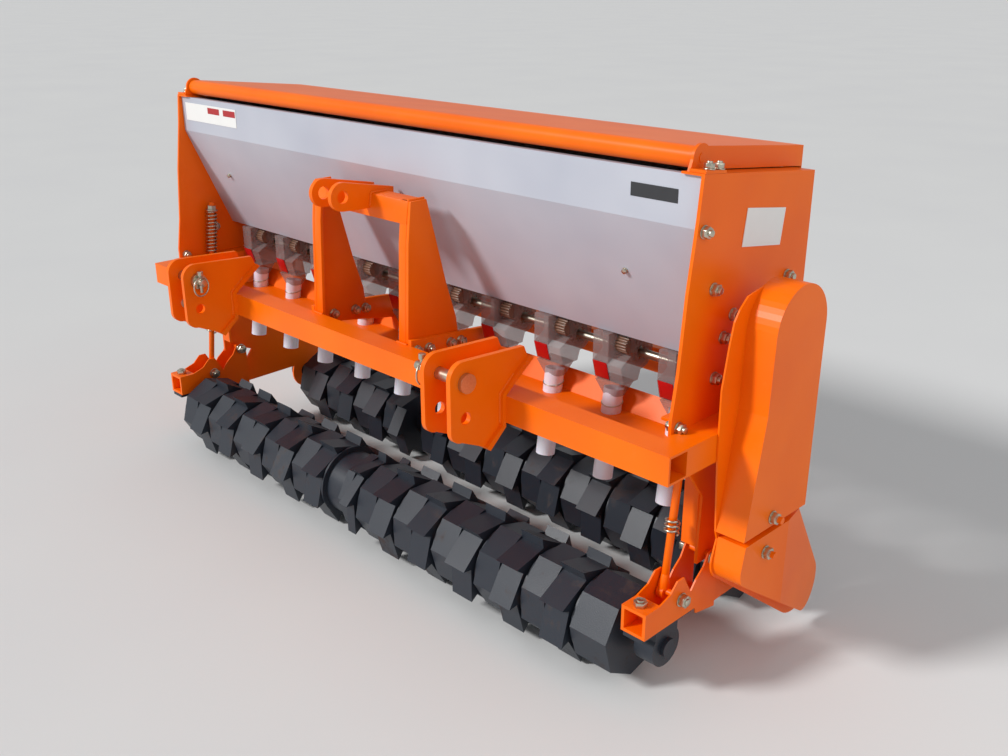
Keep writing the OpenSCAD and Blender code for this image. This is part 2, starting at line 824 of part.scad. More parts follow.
// Outline of the guard's foot, which ends round over the rear roller's axis
foot_top = seam_z - seam_h;
foot_r = 50;
heel_r = 36;
heel_y = guard_front + 34;
heel_z = foot_top - 48;
module foot_outline(grow) {
    hull() {
        translate([rear_y, rear_z]) circle(foot_r + grow);
        translate([heel_y, heel_z]) circle(heel_r + grow / 4);
        translate([guard_front + 7, foot_top - 4]) square([guard_rear - guard_front - 7, 4]);
    }
}

// Back plate of the guard, which stands out in front of the cover and the foot
back_grow = 17;
module guard_back() {
    color(ORANGE) place() difference() {
        slab(guard_x + eps, guard_t) {
            polygon([[guard_y, guard_z + 69], [guard_y - 38, guard_z + 67],
                [guard_y - 76, guard_z + 60], [guard_y - 97, guard_z + 42],
                [guard_y - 109, guard_z + 25], [guard_y - 118, guard_z - 14],
                [guard_y - 130, guard_z - 83], [guard_front - 12, feed_z - 60],
                [guard_front, seam_z], [guard_front + 7, foot_top - 8],
                [guard_rear, foot_top - 8], [guard_rear, seam_z]]);
            cover_outline();
            foot_outline(back_grow);
        }
        bar(guard_x - over, guard_t + 2 * over, 0, feed_z, feed_r + 5);
        bar(guard_x - over, guard_t + 2 * over, rear_y, rear_z, shaft_r + 5);
    }
}

// Studs on the guard's outer face
stud_r = 6;
stud_y = guard_y - 35;
cover_x = guard_x + guard_t + eps;
cover_w = guard_w - guard_t - eps;
module guard_cover() {
    color(ORANGE) place() {
        difference() {
            slab(cover_x, cover_w) cover_outline();
            slab(guard_x, guard_w - guard_t) offset(delta = -guard_t) cover_outline();
        }
        bar(guard_x + guard_w - over, stud_out + over, stud_y, seam_z + 17, stud_r);
    }
}

// The foot grows thinner towards its round end
taper_y = 0;
taper_w = 41;
module foot_room(inset) {
    x = guard_x + guard_w - inset;
    far = rear_y + 2 * foot_r;
    translate([0, 0, -over]) linear_extrude(frame_z)
        polygon([[guard_x, 2 * guard_front], [x, 2 * guard_front], [x, taper_y],
            [x - taper_w * (far - taper_y) / (rear_y + foot_r - taper_y), far], [guard_x, far]]);
}

module guard_foot() {
    color(ORANGE) place() {
        difference() {
            intersection() {
                slab(cover_x, cover_w) foot_outline(0);
                foot_room(0);
            }
            intersection() {
                slab(guard_x, guard_w) offset(delta = -guard_t) foot_outline(0);
                foot_room(guard_t);
            }
        }
        bar(guard_x + guard_w - over, stud_out + over, stud_y - 12, foot_top - 32, stud_r);
    }
}

// Blank plate on the right side plate
label_y = 13;
label_z = hopper_top_z - 102;
label_w = 115;
label_h = 62;
label_turn = -8;
module caution_plate() {
    color("white") place() translate([plate_out + eps, label_y, label_z])
        rotate([label_turn, 0, 0]) translate([0, -label_w / 2, -label_h / 2])
            cube([1, label_w, label_h]);
}

toolbar();
side_rail(rail_left_x);  // side_rail_left
side_rail(rail_right_x);  // side_rail_right
rear_beam();
side_plate_left();
side_plate_right();
rim_flanges();
post_flanges();
rod_bracket();
mast_plate_left();
mast_plate_right();
mast_cross_plate();
top_link_lugs();
mast_strap_left();
mast_strap_right();
hitch_ears(-hitch_w / 2);  // hitch_ears_left
hitch_ears(hitch_w / 2);  // hitch_ears_right
hitch_pin(-hitch_w / 2);  // hitch_pin_left
hitch_pin(hitch_w / 2);  // hitch_pin_right
hopper_ends();
hopper_bands();
hopper_slopes();
hopper_floor();
hopper_flanges();
lid();
lid_brackets();
meter_housings();
meter_shutters();
feed_shaft();
seed_funnels();
tube_trough();
seed_tubes();
roller_arm_left();
roller_arm_right();
spring_rod(-1);  // spring_rod_left
spring_rod(1);  // spring_rod_right
springs();
front_roller();
rear_roller();
front_bearings();
rear_bearings();
guard_back();
guard_cover();
guard_foot();
caution_plate();
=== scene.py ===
import bpy
import json
import math
from mathutils import Matrix, Vector


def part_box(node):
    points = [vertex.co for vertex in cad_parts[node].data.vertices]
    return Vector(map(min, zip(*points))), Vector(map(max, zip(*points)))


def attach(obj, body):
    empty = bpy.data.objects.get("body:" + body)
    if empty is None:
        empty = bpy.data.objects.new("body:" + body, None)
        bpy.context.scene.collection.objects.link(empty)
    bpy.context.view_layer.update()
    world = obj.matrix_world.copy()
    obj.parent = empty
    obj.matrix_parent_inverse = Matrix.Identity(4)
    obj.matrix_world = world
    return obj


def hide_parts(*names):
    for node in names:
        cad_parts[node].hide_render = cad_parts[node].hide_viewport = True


# %% [markdown]
# # A mounted seed drill with two packer rollers
# The machine hangs behind a small tractor. Seeds fall from the long hopper
# through ten meters into milky tubes, between a front and a rear roller whose
# notched rings crumble the soil and press the seed in. The frame below comes
# packed from the CAD work. These cells add what the eye looks for, such as paint,
# bolts, weld beads and rust, and draw the mast, the spring rods and the fronts of
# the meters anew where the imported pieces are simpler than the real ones.

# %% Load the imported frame
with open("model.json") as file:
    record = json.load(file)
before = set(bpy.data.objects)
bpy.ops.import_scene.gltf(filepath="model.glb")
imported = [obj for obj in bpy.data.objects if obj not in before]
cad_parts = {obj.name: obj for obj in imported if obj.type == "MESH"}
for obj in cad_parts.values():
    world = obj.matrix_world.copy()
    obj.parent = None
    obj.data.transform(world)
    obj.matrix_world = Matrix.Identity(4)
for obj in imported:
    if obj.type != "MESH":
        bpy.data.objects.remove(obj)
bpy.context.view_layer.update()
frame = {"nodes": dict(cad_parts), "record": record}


# %% [markdown]
# ## Camera
# The photograph was taken standing, from the right front corner. The place of
# the lens was found by fitting a pinhole camera to long straight edges in it.
# It is kept here as a distance from the toolbar's lower left front corner, so
# it stays right if the origin of the model moves.

# %% Camera
lens_px, picture_w, picture_h = 1043.7, 1008, 756
sensor_mm = 36.0
azimuth, elevation, roll = (math.radians(d) for d in (45.31, 21.20, -0.11))
toolbar_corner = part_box("toolbar")[0]
from_corner = Vector((2.4469, -1.1790, 0.7325))
back = Vector((math.sin(azimuth) * math.cos(elevation),
               -math.cos(azimuth) * math.cos(elevation), math.sin(elevation)))
right = Vector((math.cos(azimuth), math.sin(azimuth), 0))
up = back.cross(right)
right, up = (math.cos(roll) * right + math.sin(roll) * up,
             math.cos(roll) * up - math.sin(roll) * right)
camera = bpy.data.objects.new("camera", bpy.data.cameras.new("camera"))
bpy.context.scene.collection.objects.link(camera)
camera.data.sensor_width = sensor_mm
camera.data.lens = lens_px * sensor_mm / picture_w
camera.matrix_world = Matrix.Translation(toolbar_corner + from_corner) @ Matrix(
    (right, up, back)).transposed().to_4x4()
camera.data.clip_end = 1000
bpy.context.scene.camera = camera
bpy.context.scene.view_settings.view_transform = "Standard"
print("camera at", [round(c, 3) for c in camera.matrix_world.translation])


# %% [markdown]
# ## Floor and light
# A plain pale floor and a broad soft lamp up on the left stand in for a studio.
# The lamp comes from the side that lit the real machine, so the same faces are
# bright. Its rays run parallel, so the floor doesn't darken towards the back.

# %% Floor, lamps and world
KEY_SOFTNESS, KEY_POWER = math.radians(10), 2.5
SIDE_SIZE, SIDE_POWER = 2.5, 24
FLOOR_SIZE = 600


def lamp(kind, name, place, aim, power, **settings):
    """A soft lamp at a place, turned to the point that it lights."""
    data = bpy.data.lights.new(name, kind)
    data.energy = power
    for key, value in settings.items():
        setattr(data, key, value)
    obj = bpy.data.objects.new(name, data)
    obj.location = place
    obj.rotation_euler = (Vector(aim) - Vector(place)).to_track_quat("-Z", "Y").to_euler()
    bpy.context.scene.collection.objects.link(obj)


lamp("SUN", "key_lamp", (-1.9, -3.6, 3.0), (0, 0, 0.4), KEY_POWER, angle=KEY_SOFTNESS)
lamp("AREA", "side_lamp", (3.6, -0.6, 2.6), (0.2, 0, 0.4), SIDE_POWER, shape="SQUARE", size=SIDE_SIZE)
bpy.ops.object.select_all(action="DESELECT")
bpy.ops.mesh.primitive_plane_add(size=FLOOR_SIZE, location=(0, 0, 0))
floor = bpy.context.object
floor.name = "floor"


# %% [markdown]
# ## Helpers for materials
# Colours are written as the hex values that a paint chart or a picture shows.
# Blender's shaders count in linear light, so one function turns them.
# A second function adds a shader node together with its settings and links.

# %% Colour and node helpers
def linear(hexa):
    """The linear colour of an sRGB hex value, with full alpha."""
    channels = [int(hexa[i:i + 2], 16) / 255 for i in (1, 3, 5)]
    return tuple(c / 12.92 if c <= 0.04045 else ((c + 0.055) / 1.055) ** 2.4
                 for c in channels) + (1.0,)


def add(tree, kind, feeds=None, **settings):
    """A shader node with its settings, fed by values or by other sockets."""
    made = tree.nodes.new(kind)
    for name, value in settings.items():
        setattr(made, name, value)
    for socket, value in (feeds or {}).items():
        if isinstance(value, bpy.types.NodeSocket):
            tree.links.new(value, made.inputs[socket])
        else:
            made.inputs[socket].default_value = value
    return made


def blank_material(name):
    """A material with an empty tree, and the tree."""
    material = bpy.data.materials.new(name)
    material.use_nodes = True
    material.node_tree.nodes.clear()
    return material, material.node_tree


MIX_A, MIX_B, MIX_COLOR = 6, 7, 2


def mix(tree, factor, first, second, blend="MIX"):
    """The colour between two others, each a hex value or a socket."""
    first, second = (linear(c) if isinstance(c, str) else c for c in (first, second))
    return add(tree, "ShaderNodeMix", {0: factor, MIX_A: first, MIX_B: second},
               data_type="RGBA", blend_type=blend).outputs[MIX_COLOR]


def ramp(tree, value, low, high):
    """Turns a noise value into 0 below low and 1 above high."""
    return add(tree, "ShaderNodeMapRange",
               {"Value": value, "From Min": low, "From Max": high}).outputs["Result"]


def noise(tree, size_mm, detail=3.0, rough=0.5):
    """Noise whose blotches are about size_mm across."""
    place = add(tree, "ShaderNodeTexCoord").outputs["Object"]
    return add(tree, "ShaderNodeTexNoise",
               {"Vector": place, "Scale": 1000 / size_mm, "Detail": detail,
                "Roughness": rough}).outputs["Fac"]


def close(tree, base, rough, metallic=0.0, bump=None, **sockets):
    """Ends a material with the main shader and, if asked, a bump."""
    feeds = {"Base Color": linear(base) if isinstance(base, str) else base,
             "Roughness": rough, "Metallic": metallic}
    feeds.update({k.replace("_", " "): v for k, v in sockets.items()})
    if bump:
        height, depth_mm = bump
        feeds["Normal"] = add(tree, "ShaderNodeBump",
                              {"Height": height, "Distance": depth_mm / 1000,
                               "Strength": 1.0}).outputs["Normal"]
    shader = add(tree, "ShaderNodeBsdfPrincipled", feeds)
    add(tree, "ShaderNodeOutputMaterial", {"Surface": shader.outputs["BSDF"]})


# %% Floor and world colours
floor_paint, tree = blank_material("pale_studio_floor")
close(tree, mix(tree, noise(tree, 900), "#DADADA", "#E2E2E0"), 0.8)
floor.data.materials.append(floor_paint)

world = bpy.data.worlds.new("studio")
bpy.context.scene.world = world
world.use_nodes = True
tree = world.node_tree
tree.nodes.clear()
path = add(tree, "ShaderNodeLightPath")
seen = add(tree, "ShaderNodeMath", {0: path.outputs["Is Camera Ray"],
                                    1: path.outputs["Is Transmission Ray"]}, operation="MAXIMUM")
soft = add(tree, "ShaderNodeBackground", {"Color": linear("#EDEFF2"), "Strength": 0.48})
shown = add(tree, "ShaderNodeBackground", {"Color": linear("#E6E7E8"), "Strength": 1.0})
both = add(tree, "ShaderNodeMixShader", {0: seen.outputs[0], 1: soft.outputs[0],
                                         2: shown.outputs[0]})
add(tree, "ShaderNodeOutputWorld", {"Surface": both.outputs[0]})

# %% [markdown]
# ## Finishes of the machine
# Each finish is named for how the real surface was made. Patterns are sized in
# millimetres, from what such a surface shows: the orange peel of sprayed enamel,
# the pits of sand-cast iron, the crystal flakes of zinc plating.

# %% Sprayed orange enamel
# Spraying leaves a fine orange peel, a slow change of tone and a little dust.
orange_enamel, tree = blank_material("orange_enamel")
fade = ramp(tree, noise(tree, 160, 2), 0.35, 0.7)
dust = ramp(tree, noise(tree, 26, 5, 0.65), 0.56, 0.8)
paint = mix(tree, fade, "#FF7200", "#F86900")
paint = mix(tree, add(tree, "ShaderNodeMath", {0: dust, 1: 0.03}, operation="MULTIPLY").outputs[0],
            paint, "#D9B48A")
close(tree, paint, 0.36, bump=(noise(tree, 5, 2), 0.05), Specular_IOR_Level=0.25)

# %% Sprayed light grey enamel of the hopper
grey_enamel, tree = blank_material("light_grey_enamel")
fade = ramp(tree, noise(tree, 200, 2), 0.3, 0.7)
close(tree, mix(tree, fade, "#BFC2CC", "#B3B7C3"), 0.42, bump=(noise(tree, 4, 2), 0.04))

# %% Zinc plated steel
# Plating is a thin bright metal with a warm tint. Its flakes are finer than
# this in life, and are drawn 3 mm wide so that they show.
zinc_plate, tree = blank_material("zinc_plate")
flakes = ramp(tree, noise(tree, 3, 2), 0.35, 0.65)
close(tree, mix(tree, flakes, "#C2BCA9", "#CCC7B6"), 0.33, 1.0, bump=(noise(tree, 1.5), 0.012))

# %% Black dipped cast iron
# Sand casting leaves pits about 2 mm wide, and rust comes through in blotches
# that are duller than the paint.
black_cast, tree = blank_material("black_cast_iron")
rust = ramp(tree, noise(tree, 70, 6, 0.7), 0.58, 0.72)
grain = noise(tree, 2.2, 3, 0.6)
close(tree, mix(tree, rust, "#232933", "#40302B"),
      add(tree, "ShaderNodeMath", {0: rust, 1: 0.45, 2: 0.42}, operation="MULTIPLY_ADD").outputs[0],
      bump=(grain, 0.25))

# %% Moulded plastics and the blank label
# The clear plastic lets the shaft show through, and thin polythene glows a little.
smoky, tree = blank_material("smoky_polycarbonate")
close(tree, mix(tree, noise(tree, 40), "#8A7A78", "#A89A98"), 0.2, Alpha=0.5)
red_moulded, tree = blank_material("red_moulded_plastic")
close(tree, mix(tree, noise(tree, 30), "#C81418", "#B01014"), 0.35)
milky, tree = blank_material("milky_polythene")
close(tree, mix(tree, noise(tree, 60), "#E9E4F2", "#F4F1F8"), 0.4, Subsurface_Weight=0.15)
label_film, tree = blank_material("white_label_film")
close(tree, mix(tree, noise(tree, 50), "#E9E9E6", "#F1F1EE"), 0.4)

finish_of = {"orange_paint": orange_enamel, "hopper_paint": grey_enamel,
             "zinc_steel": zinc_plate, "black_iron": black_cast, "smoky_plastic": smoky,
             "red_plastic": red_moulded, "milky_plastic": milky, "white_label": label_film}

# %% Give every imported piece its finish
for piece in frame["record"]["subparts"]:
    node = frame["nodes"][piece["node"]]
    node.data.materials.clear()
    node.data.materials.append(finish_of[piece["material_slot"]])

# %% [markdown]
# ## Places and a few shop helpers
# Every piece below is placed in millimetres from the plane of the feed shaft,
# the middle of the hopper and the ground. The toolbar's corner in the packed
# frame ties those measures to the model, so nothing has to be fitted by eye.

# %% Places in the machine
MM = 0.001
QUARTER_TURN = math.radians(90)
SMOOTH_ANGLE = math.radians(35)
TOOLBAR_CORNER_MM = Vector((-777, -278, 454))
machine_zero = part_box("toolbar")[0] - TOOLBAR_CORNER_MM * MM


def at(x, y, z):
    """The point in metres of a place given in the machine's millimetres."""
    return machine_zero + Vector((x, y, z)) * MM


def only(obj):
    """Makes one piece the only selected and active one."""
    bpy.ops.object.select_all(action="DESELECT")
    obj.select_set(True)
    bpy.context.view_layer.objects.active = obj


def joined(pieces):
    """Several pieces as one object."""
    only(pieces[0])
    for piece in pieces:
        piece.select_set(True)
    bpy.ops.object.join()
    return bpy.context.object


def apply_modifier(obj, kind, **settings):
    """Adds a modifier with its settings and applies it."""
    only(obj)
    modifier = obj.modifiers.new("shape", kind)
    for name, value in settings.items():
        setattr(modifier, name, value)
    bpy.ops.object.modifier_apply(modifier="shape")


def soften(obj, width_mm, segments=2):
    """Rounds the edges of a piece, as folding and shearing leave them."""
    apply_modifier(obj, "BEVEL", width=width_mm * MM, segments=segments, limit_method="ANGLE")
    bpy.ops.object.shade_smooth_by_angle(angle=SMOOTH_ANGLE)


def settle(obj, name, slot, replaces=(), finish=None):
    """Gives a finished piece its name, finish, body and the nodes that it stands for."""
    only(obj)
    bpy.ops.object.transform_apply(location=True, rotation=True, scale=True)
    obj.name = name
    obj.data.materials.clear()
    obj.data.materials.append(finish or finish_of[slot])
    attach(obj, "root")
    if replaces:
        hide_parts(*replaces)
    print(name, len(obj.data.polygons), "faces")


# %% [markdown]
# ## The mast
# The mast is two plates, each folded round at its front edge, with a folded
# cross piece near the top. A plate is an outline cut from sheet: a filled circle
# gets as many corners as the outline, they move to their places, and an extrude
# gives the sheet its thickness. A small bevel stands for the fold's radius.

# %% Sheet cut to an outline
def sheet(outline, x_low, x_high):
    """A sheet between two x places, cut along an outline of (y, z) points."""
    bpy.ops.object.select_all(action="DESELECT")
    bpy.ops.mesh.primitive_circle_add(vertices=len(outline), fill_type="NGON", location=(0, 0, 0))
    made = bpy.context.object
    for corner, (y, z) in zip(made.data.vertices, outline):
        corner.co = at(x_low, y, z)
    bpy.ops.object.mode_set(mode="EDIT")
    bpy.ops.mesh.select_all(action="SELECT")
    bpy.ops.mesh.extrude_region_move(
        TRANSFORM_OT_translate={"value": ((x_high - x_low) * MM, 0, 0)})
    bpy.ops.mesh.select_all(action="SELECT")
    bpy.ops.mesh.normals_make_consistent(inside=False)
    bpy.ops.object.mode_set(mode="OBJECT")
    return made


# %% Mast plates, cross piece and straps
MAST_OUT, MAST_SHEET, MAST_FLANGE = 158, 8, 30
STRAP_SHEET = 10
mast_side = [(-228, 466), (-217, 704), (-208, 785), (-168, 785), (-122, 609), (-98, 534), (-90, 470)]
mast_fold = [(-228, 466), (-217, 704), (-208, 785), (-200, 785), (-209, 704), (-220, 466)]
strap_side = [(-227, 478), (-227, 515), (-18, 497), (38, 452), (26, 435)]
for side, word in ((1, "right"), (-1, "left")):
    lower, upper = sorted((side * (MAST_OUT - MAST_SHEET), side * MAST_OUT))
    wall = sheet(mast_side, lower, upper)
    lower, upper = sorted((side * (MAST_OUT - MAST_FLANGE), side * (MAST_OUT - MAST_SHEET)))
    fold = sheet(mast_fold, lower, upper)
    plate = joined([wall, fold])
    soften(plate, 1.6)
    settle(plate, f"mast_plate_{word}_folded", "orange_paint", [f"mast_plate_{word}"])
    lower, upper = sorted((side * MAST_OUT, side * (MAST_OUT + STRAP_SHEET)))
    strap = sheet(strap_side, lower, upper)
    soften(strap, 1.0)
    settle(strap, f"mast_strap_{word}_bolted", "orange_paint", [f"mast_strap_{word}"])

cross_side = [(-208, 785), (-168, 785), (-168, 778), (-201, 778), (-206, 740), (-214, 740)]
cross = sheet(cross_side, MAST_SHEET - MAST_OUT, MAST_OUT - MAST_SHEET)
soften(cross, 2.0)
settle(cross, "mast_cross_fold", "orange_paint", ["mast_cross_plate"])

# %% [markdown]
# ## Spring rods
# Each arm of the front roller hangs on a rod that leans back as it rises. A
# short spring under the frame and a long one over it let the roller give way.
# A coil is one circle of wire that the Screw modifier winds round the rod, and
# its open ends are closed afterwards.

# %% Rods and coils
ROD_X, ROD_Y, ROD_FOOT_Z, ROD_LEAN, ROD_LONG = 757, -166, 185.5, 6.6, 456
ROD_RADIUS, WIRE_RADIUS, COIL_RADIUS = 7, 2.2, 12


def coil(low, high, turns):
    """A spring round the z axis between two heights in millimetres."""
    bpy.ops.object.select_all(action="DESELECT")
    bpy.ops.mesh.primitive_circle_add(vertices=8, radius=WIRE_RADIUS * MM,
                                      location=(COIL_RADIUS * MM, 0, (low + WIRE_RADIUS) * MM),
                                      rotation=(QUARTER_TURN, 0, 0))
    made = bpy.context.object
    bpy.ops.object.transform_apply(location=True, rotation=True, scale=True)
    pitch = (high - low - 2 * WIRE_RADIUS) / turns
    apply_modifier(made, "SCREW", axis="Z", screw_offset=pitch * MM, iterations=turns,
                   steps=16, render_steps=16, use_smooth_shade=True)
    bpy.ops.object.mode_set(mode="EDIT")
    bpy.ops.mesh.select_all(action="SELECT")
    bpy.ops.mesh.fill_holes(sides=10)
    bpy.ops.mesh.select_all(action="SELECT")
    bpy.ops.mesh.normals_make_consistent(inside=False)
    bpy.ops.object.mode_set(mode="OBJECT")
    return made


def turned(radius, low, high, sides=24, radius_top=None):
    """A turned piece along the z axis between two heights in millimetres."""
    bpy.ops.object.select_all(action="DESELECT")
    bpy.ops.mesh.primitive_cone_add(vertices=sides, radius1=radius * MM,
                                    radius2=(radius_top or radius) * MM,
                                    depth=(high - low) * MM, location=(0, 0, (low + high) / 2 * MM))
    made = bpy.context.object
    bpy.ops.object.transform_apply(location=True, rotation=True, scale=True)
    return made


springs = []
for side, word in ((1, "right"), (-1, "left")):
    stand = Matrix.Translation(at(side * ROD_X, ROD_Y, ROD_FOOT_Z)) @ Matrix.Rotation(
        math.radians(-ROD_LEAN), 4, "X")
    rod = joined([turned(ROD_RADIUS, 20, ROD_LONG), turned(12, 6, 34, radius_top=ROD_RADIUS)])
    eye = turned(13, -7, 7)
    eye.data.transform(Matrix.Rotation(QUARTER_TURN, 4, "Y"))
    rod = joined([rod, eye])
    rod.data.transform(stand)
    soften(rod, 0.8)
    settle(rod, f"spring_rod_{word}_leaning", "orange_paint", [f"spring_rod_{word}"])
    ends = [turned(15, 434, 437), turned(11, 437, 447, sides=6)]
    pair = joined([coil(108, 139, 3), coil(321, 434, 12)] + ends)
    pair.data.transform(stand)
    springs.append(pair)
springs = joined(springs)
settle(springs, "coil_springs", "zinc_steel", ["springs"])

bracket = sheet([(-160, 498), (-104, 498), (-104, 504), (-160, 504)], 727, 777)
soften(bracket, 1.0)
settle(bracket, "rod_bracket_flat", "orange_paint", ["rod_bracket"])

# %% [markdown]
# ## Nuts and bolts
# Zinc plated bolts hold the plates, the arms and the mast. One washer, one
# chamfered nut and one bolt end are modelled once. Each place gets a copy of the
# mesh, turned to its own direction and a little round its axis, as no two nuts
# stop at the same angle.

# %% One bolt, and copies of it
WASHER_THICK, WASHER_SHARE, NUT_SHARE, END_SHARE = 2.2, 0.62, 0.5, 0.32
NUT_TURN = math.radians(23)


def bolt_pattern(across, reach):
    """A washer, a nut and the end of a bolt along z, for a nut this wide."""
    nut_top = WASHER_THICK + across * NUT_SHARE
    washer = turned(across * WASHER_SHARE, 0, WASHER_THICK)
    nut = turned(across / math.sqrt(3), WASHER_THICK, nut_top, sides=6)
    end = turned(across * END_SHARE, WASHER_THICK, nut_top + reach, sides=16)
    made = joined([washer, nut, end])
    soften(made, 0.9)
    return made


def bolts(name, across, reach, spots):
    """Copies of one bolt, each at a place and pointing a way, as one piece."""
    pattern = bolt_pattern(across, reach)
    copies = []
    for number, (place, way) in enumerate(spots):
        copy = pattern.copy()
        copy.data = pattern.data.copy()
        bpy.context.scene.collection.objects.link(copy)
        turn = Vector(way).to_track_quat("Z", "Y").to_matrix().to_4x4()
        spin = Matrix.Rotation(NUT_TURN * number, 4, "Z")
        copy.data.transform(Matrix.Translation(at(*place)) @ turn @ spin)
        copies.append(copy)
    bpy.data.objects.remove(pattern)
    settle(joined(copies), name, "zinc_steel")


# %% Places of the bolts
PLATE_OUT, PLATE_IN, ARM_OUT, ARM_IN = 783, 777, 795, 744
plate_spots = [(-155, 822), (-119, 725), (99, 705), (-59, 671), (-83, 637), (-100, 571), (-190, 510)]
strap_spots = [(-213, 492), (-183, 490), (-125, 487), (-97, 485)]
ARM_TOP_Z, ARM_BOLT_Y, PIVOT_Y, PIVOT_Z = 195.5, -246, -80, 233.5
spots = [((s * PLATE_OUT, y, z), (s, 0, 0)) for s in (1, -1) for y, z in plate_spots]
spots += [((s * PLATE_IN, y, z), (-s, 0, 0)) for s in (1, -1) for y, z in plate_spots
          if y < -160 or z < 575 and y < -99]
bolts("plate_bolts", 18, 5, spots)
spots = [((s * (MAST_OUT + STRAP_SHEET), y, z), (s, 0, 0)) for s in (1, -1) for y, z in strap_spots]
spots += [((s * (MAST_OUT - MAST_SHEET), y, z), (-s, 0, 0)) for s in (1, -1) for y, z in strap_spots[1:]]
bolts("mast_bolts", 18, 4, spots)
arm_middle = (ARM_OUT + ARM_IN) / 2
spots = [((s * arm_middle, ARM_BOLT_Y, ARM_TOP_Z), (0, 0, 1)) for s in (1, -1)]
for depth, height in ((ROD_Y, ROD_FOOT_Z), (PIVOT_Y, PIVOT_Z)):
    spots += [((s * ARM_OUT, depth, height), (s, 0, 0)) for s in (1, -1)]
    spots += [((s * ARM_IN, depth, height), (-s, 0, 0)) for s in (1, -1)]
bolts("arm_bolts", 21, 3, spots)
lid_spots = [(-140, 913), (-114, 910.2)]
bolts("lid_bracket_bolts", 15, 3, [((s * 774, y, z), (0, 0.1, 1)) for s in (1, -1) for y, z in lid_spots])
bolts("guard_nuts", 19, 2, [((891, -59, 341), (1, 0, 0)), ((891, -71, 280), (1, 0, 0))])
bolts("ear_bolt", 19, 5, [((-465.5, -366, 486), (1, 0, 0))])
hopper_spots = [(-660, -109.4, 719), (52, -87.5, 669), (600, -109.4, 719)]
bolts("hopper_bolts", 9, 1, [(place, (0, -247, -108)) for place in hopper_spots])

# %% [markdown]
# ## Linch pins
# A linch pin stops each hitch pin: a short stem with a ring of spring wire that
# snaps over the end. The ring is a torus, and a small barrel joins it to the stem.

# %% Linch pins with their rings
PIN_Y, PIN_Z = -366, 551
for word, pin_x in (("left", -385), ("right", 366)):
    bpy.ops.object.select_all(action="DESELECT")
    bpy.ops.mesh.primitive_torus_add(major_radius=21 * MM, minor_radius=1.9 * MM, major_segments=40,
                                     minor_segments=8, rotation=(0, QUARTER_TURN, 0.25),
                                     location=at(pin_x + 6, PIN_Y - 3, PIN_Z - 9))
    ring = bpy.context.object
    bpy.ops.object.transform_apply(location=True, rotation=True, scale=True)
    stem = turned(4, -24, 20, sides=16)
    stem.data.transform(Matrix.Translation(at(pin_x, PIN_Y, PIN_Z)))
    neck = turned(8, -14, 14)
    neck.data.transform(Matrix.Translation(at(pin_x, PIN_Y, PIN_Z)) @ Matrix.Rotation(
        QUARTER_TURN, 4, "Y"))
    barrel = turned(6.5, 14, 24, sides=16)
    barrel.data.transform(Matrix.Translation(at(pin_x, PIN_Y, PIN_Z)))
    pin = joined([ring, stem, neck, barrel])
    soften(pin, 0.6)
    settle(pin, f"linch_pin_{word}", "zinc_steel")

# %% [markdown]
# ## Funnels and wire clips
# Under each meter a clear funnel narrows from a box to a round neck, and a twist
# of wire holds the milky tube on it. One funnel is a cone with four sides at the
# top turned square, then copied along the hopper.

# %% Clear funnels and wire clips
METERS, PITCH = 10, 150
FUNNEL_Y, FUNNEL_TOP, FUNNEL_NECK = -34, 480.6, 452
FUNNEL_HALF_WIDE, FUNNEL_HALF_DEEP = 0.030, 0.022
TUBE_LEAN = math.atan(26 / 185)
funnels, clips = [], []
for number in range(METERS):
    meter_x = (number - (METERS - 1) / 2) * PITCH
    funnel = turned(20.5, FUNNEL_NECK, FUNNEL_TOP, sides=32, radius_top=31)
    for corner in funnel.data.vertices:
        if corner.co.z > (FUNNEL_TOP - 1) * MM:
            reach = max(abs(corner.co.x), abs(corner.co.y))
            corner.co.x *= FUNNEL_HALF_WIDE / reach
            corner.co.y *= FUNNEL_HALF_DEEP / reach
    funnel.data.transform(Matrix.Translation(at(meter_x, FUNNEL_Y, 0)))
    funnels.append(funnel)
    bpy.ops.object.select_all(action="DESELECT")
    bpy.ops.mesh.primitive_torus_add(major_radius=20 * MM, minor_radius=1.1 * MM, major_segments=32,
                                     minor_segments=6, rotation=(TUBE_LEAN, 0.05, 0),
                                     location=at(meter_x, FUNNEL_Y - 5, FUNNEL_NECK - 16))
    clips.append(bpy.context.object)
    bpy.ops.object.transform_apply(location=True, rotation=True, scale=True)
funnels = joined(funnels)
apply_modifier(funnels, "BEVEL", width=0.8 * MM, segments=2, limit_method="ANGLE")
settle(funnels, "clear_funnels", "smoky_plastic", ["seed_funnels"])
clips = joined(clips)
bpy.ops.object.shade_smooth_by_angle(angle=SMOOTH_ANGLE)
settle(clips, "wire_clips", "zinc_steel")

# %% [markdown]
# ## The front of each seed meter
# Seed leaves the hopper through a clear chute, and a red flap closes its foot.
# Beside it the cover of the fluted roller shows ribs that wrap round the roller.
# Chute and flap are outlines extruded along the shaft, and the ribs are rods.

